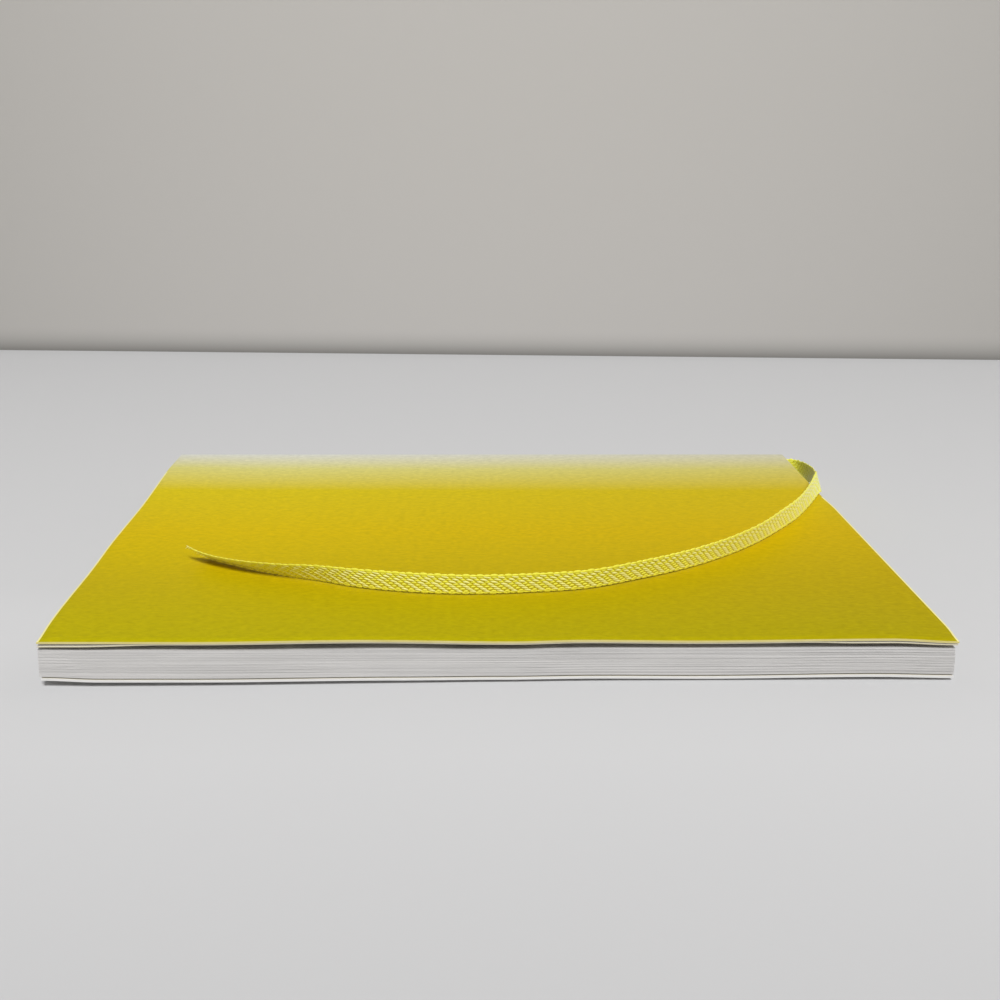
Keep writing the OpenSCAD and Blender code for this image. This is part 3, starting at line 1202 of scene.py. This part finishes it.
@dataclass
class Boards:
    """The two covers and the spine between them, with the papers glued inside the covers."""

    lie: Lie
    length: float = 210 * MM
    fore_y: float = -74 * MM
    back_y: float = 74 * MM
    card: float = 0.45 * MM
    fold: float = 0.4 * MM
    top_z: float = 10.1 * MM
    spine_lo: float = 0.48 * MM
    spine_hi: float = 9.62 * MM
    bow: float = 0.5 * MM
    bow_w: float = 44 * MM
    leaf_y: float = 71.56 * MM
    wear: float = 0.06 * MM
    # Reach of the worn rims that are painted lighter as a highlight
    rubbed_highlight_to: dict[Side, float] = field(
        default_factory=lambda: {Side.HEAD: 26 * MM, Side.TAIL: 52 * MM}
    )
    cuts: dict[Side, float] = field(
        default_factory=lambda: {Side.FORE: 0.1, Side.TAIL: 0.25, Side.HEAD: 0.25}
    )
    spine_cuts: dict[Side, float] = field(default_factory=lambda: {Side.TAIL: 0.2, Side.HEAD: 0.2})
    rim: float = 0.5 * MM
    crease_gap: float = 0.02 * MM
    turn_gap: float = 0.1 * MM
    turn_width: float = 0.06 * MM
    glued: float = 0.12 * MM
    glue: float = 0.01 * MM
    points: int = 56

    def _across(self, end: float) -> np.ndarray:
        """Places across a panel, with one close to the fore edge."""
        return np.concatenate([[self.fore_y], np.linspace(self.fore_y + self.wear, end, self.points)])

    def _bowed(self, y: np.ndarray) -> np.ndarray:
        """Rise of the back cover's fore edge, along an arc."""
        radius = (self.bow_w**2 + self.bow**2) / (2 * self.bow)
        inside = np.clip(self.fore_y + self.bow_w - y, 0, None)
        return radius - np.sqrt(radius**2 - inside**2)

    def _folded(self, outer_z: float, inner_z: float, down: float) -> tuple[np.ndarray, np.ndarray]:
        """Profile of a cover that turns into the spine.

        Args:
            outer_z: Height of the face that shows.
            inner_z: Height of the face inside.
            down: Height at which the fold meets the spine.

        Returns:
            The outer and the inner line, point for point.
        """
        sign = -1 if outer_z > inner_z else 1
        inside_y = self.back_y - self.card
        y = self._across(self.back_y - self.fold)
        turns = np.linspace(0, math.pi / 2, 8)[1:]
        arc = np.stack(
            [self.back_y - self.fold + self.fold * np.sin(turns),
             outer_z + sign * (self.fold - self.fold * np.cos(turns))],
            1,
        )
        outer = np.concatenate([np.stack([y, np.full(len(y), outer_z)], 1), arc, [[self.back_y, down]]])
        flat = np.stack([np.minimum(y, inside_y - self.turn_gap), np.full(len(y), inner_z)], 1)
        turn_in = np.stack(
            [np.linspace(inside_y - self.turn_width, inside_y, len(turns) + 1),
             np.linspace(inner_z, down, len(turns) + 1)],
            1,
        )
        return outer, np.concatenate([flat, turn_in])

    def build(self) -> None:
        """Builds the covers, the spine and the glued papers, and sets what the spine and the papers ride
        on.
        """
        printed, plain, cut = PrintedCard().material(), PlainCard().material(), CutEdge().material()
        # Worn rims show the cream core, painted lighter than the core as a highlight
        rubbed = CutEdge("rubbed_edge_highlight", srgb(242, 236, 172), srgb(232, 224, 144)).material()
        white_cut = CutEdge("white_cut_edge", srgb(226, 225, 223), srgb(214, 213, 211)).material()
        paper = Paper("endpaper", srgb(216, 212, 200), srgb(206, 201, 188)).material()
        paper_cut = CutEdge("endpaper_edge", srgb(200, 192, 168), srgb(186, 178, 152)).material()
        length, lie = self.length, self.lie

        shape = self._folded(self.top_z, self.top_z - self.card, self.spine_hi)
        front = Sheet(
            "front_cover_card", *shape, length, lie.cover, self.rim, self.cuts, lie.run_out, self.rubbed_highlight_to
        )
        piece = front.build([printed, cut, plain, rubbed])
        self._hinge(piece)
        put(piece, "front_cover", "")

        shape = self._folded(0.0, self.card, self.spine_lo)
        for line in shape:
            line[:, 1] += self._bowed(line[:, 0])
        back = Sheet("back_cover_card", *shape, length, lie.under, self.rim, self.cuts)
        piece = back.build([plain, white_cut, plain, white_cut])
        self._hinge(piece)
        put(piece, "back_cover", "")

        z = np.linspace(self.spine_lo + self.crease_gap, self.spine_hi - self.crease_gap, 24)
        shape = [np.stack([np.full(len(z), y), z], 1) for y in (self.back_y, self.back_y - self.card)]
        spine = Sheet("spine_card", *shape, length, lie.still, self.rim, self.spine_cuts)
        put(spine.build([plain, white_cut, plain, white_cut]), "cover_spine", "book_block")

        y = self._across(self.leaf_y)
        low = np.full(len(y), self.top_z - self.card - self.glued)
        sheet = Sheet("front_glued_paper", *lines(y, low, low + self.glued - self.glue), length, lie.cover)
        put(sheet.build([paper, paper_cut, paper, paper_cut]), "front_pastedown", "front_board")

        low = self.card + self._bowed(y)
        sheet = Sheet("back_glued_paper", *lines(y, low + self.glued, low + self.glue), length, lie.under)
        put(sheet.build([paper, white_cut, paper, white_cut]), "back_pastedown", "back_board")

    def _hinge(self, piece: bpy.types.Object) -> None:
        """Bakes the cover's place into its mesh."""
        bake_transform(piece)


@dataclass
class Pages:
    """The sewn page block and the free endpapers on both sides of it."""

    lie: Lie
    length: float = 210 * MM
    fore_y: float = -74 * MM
    fold_y: float = 72.56 * MM
    leaf_y: float = 71.56 * MM
    signatures: int = 10
    leaves: int = 8
    low_spine: float = 0.95 * MM
    low_fore: float = 1.45 * MM
    thick_spine: float = 8.2 * MM
    thick_fore: float = 6.95 * MM
    groove: float = 0.03 * MM
    deep_groove: float = 0.3 * MM
    gap: float = 0.012 * MM
    set_back: float = 0.85 * MM
    tail_out: float = 0.3 * MM
    paper: float = 0.2 * MM
    back_paper: float = 0.15 * MM
    leaf_back: float = 0.3 * MM
    fold_round: float = 0.52
    leaf_jitter: float = 0.012 * MM
    leaf_drift: float = 0.02 * MM
    stagger_in: float = -0.2 * MM
    stagger_out: float = 0.05 * MM
    knots: int = 6
    fan: float = 4.5
    fan_reach: float = 160 * MM
    leaf_rim: float = 0.1 * MM
    under_gap: float = 0.02 * MM
    under_cover: float = 9.52 * MM
    at_spine: float = 9.4 * MM
    across: int = 30
    along: int = 84
    seed: int = 11

    def _height(self, share: np.ndarray, x: np.ndarray, y: np.ndarray) -> np.ndarray:
        """Height of a level of the block.

        Args:
            share: Level, from 0 at the bottom to 1 at the top.
            x: Places along the spine.
            y: Places across the book.

        Returns:
            The heights.
        """
        back = np.clip((y - self.fore_y) / (self.fold_y - self.fore_y), 0, 1)
        low = self.low_fore + (self.low_spine - self.low_fore) * back + self.lie.under(x, y, x)
        top = self.low_fore + self.thick_fore
        top = top + (self.low_spine + self.thick_spine - top) * back + self.lie.block_top(x, y)
        return low + (top - low) * share

    def _levels(self) -> list[tuple[float, float, float, int]]:
        """Levels of the block, each a share of the thickness with the way to its nearest gap.

        Returns:
            For each level: its share, the share by which a gap pushes it away, the depth of the
            groove there, and its leaf.
        """
        levels = []
        total = self.signatures * self.leaves
        gap = self.gap / self.thick_fore
        for leaf in range(total):
            first, last = leaf % self.leaves == 0, leaf % self.leaves == self.leaves - 1
            levels.append((leaf / total + gap, gap if first else 0.0, 0.0, leaf))
            levels.append(((leaf + 1) / total - gap, -gap if last else 0.0, 0.0, leaf))
            if leaf < total - 1:
                levels.append(((leaf + 1) / total, 0.0, self.deep_groove if last else self.groove, leaf))
        return levels

    def build_block(self, finish: bpy.types.Material) -> bpy.types.Object:
        """Builds the block of pages as one closed shell with an edge for every leaf.

        Args:
            finish: The finish of the trimmed edges.

        Returns:
            The new piece.
        """
        random = np.random.default_rng(self.seed)
        half = self.length / 2
        total = self.signatures * self.leaves
        xs = np.linspace(-half, half, self.along)
        spread = np.linspace(0, 1, self.across)
        tail = [(0, j) for j in range(self.across - 1, 0, -1)]
        fore = [(i, 0) for i in range(self.along)]
        head = [(self.along - 1, j) for j in range(1, self.across)]
        back = [(i, self.across - 1) for i in range(self.along - 2, 0, -1)]
        loop = tail + fore + head + back
        i = np.array([a for a, _ in loop])
        j = np.array([b for _, b in loop])
        out_x = np.where(i == 0, -1.0, np.where(i == self.along - 1, 1.0, 0.0))
        out_y = np.where(j == 0, -1.0, 0.0)
        levels = self._levels()
        sig_t = self.thick_spine / self.signatures
        fold_r = self.fold_round * sig_t
        jitter = random.normal(0, self.leaf_jitter, total)
        drift = random.normal(0, self.leaf_drift, (total, self.knots))
        stagger = random.uniform(self.stagger_in, self.stagger_out, self.signatures)
        opening = random.uniform(0.5, 1.0, (self.signatures, self.knots))
        knots = np.linspace(-half, half, self.knots)
        rings = []
        for share, push, depth, leaf in levels:
            rise = (share * self.signatures) % 1 - 0.5
            inset = fold_r - math.sqrt(max(fold_r**2 - (rise * sig_t) ** 2, 0))
            fold = self.fold_y - inset
            y = self.fore_y + (fold - self.fore_y) * spread[j]
            x = xs[i]
            swell = np.interp(x, knots, drift[leaf]) + jitter[leaf]
            signature = min(int(round(share * self.signatures)), self.signatures - 1)
            fan = 1 + self.fan * fading(half - x, self.fan_reach) * np.interp(x, knots, opening[signature])
            offset = swell - depth * (0.4 + 0.12 * fan)
            end = np.where(out_x > 0, stagger[leaf // self.leaves], -self.tail_out * (out_x < 0))
            back = self.set_back * (0.1 + 0.9 * share)
            z = self._height(share + push * fan, x, y)
            rings.append(np.stack([x + out_x * offset + end, y + out_y * (offset - back), z], 1))
        n = len(loop)
        vertices = list(np.concatenate(rings))
        faces = ring_quads(len(rings), n)
        for ring, share in ((0, 0.0), (len(rings) - 1, 1.0)):
            grid = np.full((self.along, self.across), -1)
            grid[i, j] = ring * n + np.arange(n)
            inner_i, inner_j = np.nonzero(grid < 0)
            y = self.fore_y + (self.fold_y - self.fore_y) * spread[inner_j]
            x = xs[inner_i]
            z = self._height(np.full(len(x), share), x, y)
            grid[inner_i, inner_j] = len(vertices) + np.arange(len(x))
            vertices += list(np.stack([x, y, z], 1))
            faces += grid_quads(grid)
        vertices = np.array(vertices)
        return make_piece("page_leaves", vertices, faces, [finish], None, vertices[:, :2], 25.0)

    def build(self) -> None:
        """Builds the block and the free endpapers, and sets what they ride on."""
        put(self.build_block(LeafEdges().material()), "page_block", "book_block")
        paper = Paper("flyleaf_paper", srgb(216, 212, 200), srgb(206, 201, 188)).material()
        cut = CutEdge("flyleaf_edge", srgb(200, 192, 168), srgb(186, 178, 152)).material()
        white_cut = CutEdge("white_flyleaf_edge", srgb(206, 205, 203), srgb(190, 189, 186)).material()
        y = np.concatenate([[self.fore_y], np.linspace(self.fore_y + self.leaf_rim, self.leaf_y, 40)])
        back = (y - self.fore_y) / (self.leaf_y - self.fore_y)
        top = self.under_cover + (self.at_spine - self.under_cover) * back
        leaf = Sheet("front_free_leaf", *lines(y, top, top - self.paper), self.length, self.lie.endpaper)
        put(leaf.build([paper, cut, paper, cut]), "front_flyleaf", "book_block")
        top = self.low_fore - self.under_gap + (self.low_spine - self.low_fore) * back
        y = y + self.leaf_back * (1 - back)
        leaf = Sheet("back_free_leaf", *lines(y, top - self.back_paper, top), self.length, self.lie.under)
        put(leaf.build([paper, white_cut, paper, white_cut]), "back_flyleaf", "book_block")


@dataclass
class Binding:
    """The sewing thread and the lining glued over the folds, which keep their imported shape."""

    def dress(self) -> None:
        """Gives both their finishes."""
        for name, finish in (("spine_lining", Gauze()), ("sewing_thread", Thread())):
            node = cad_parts[name]
            node.data.materials.clear()
            node.data.materials.append(finish.material())
            report(node)


def main() -> None:
    """Builds the camera, the ribbon, the covers, the pages and the stage, in that order."""
    logging.basicConfig(level=logging.INFO, format="%(name)s: %(message)s")
    studio = Studio()
    studio.set_camera()
    Marker().build()
    lie = Lie()
    Boards(lie).build()
    Pages(lie).build()
    Binding().dress()
    studio.build_stage()
    studio.set_lights()


if __name__ == "__main__":
    main()
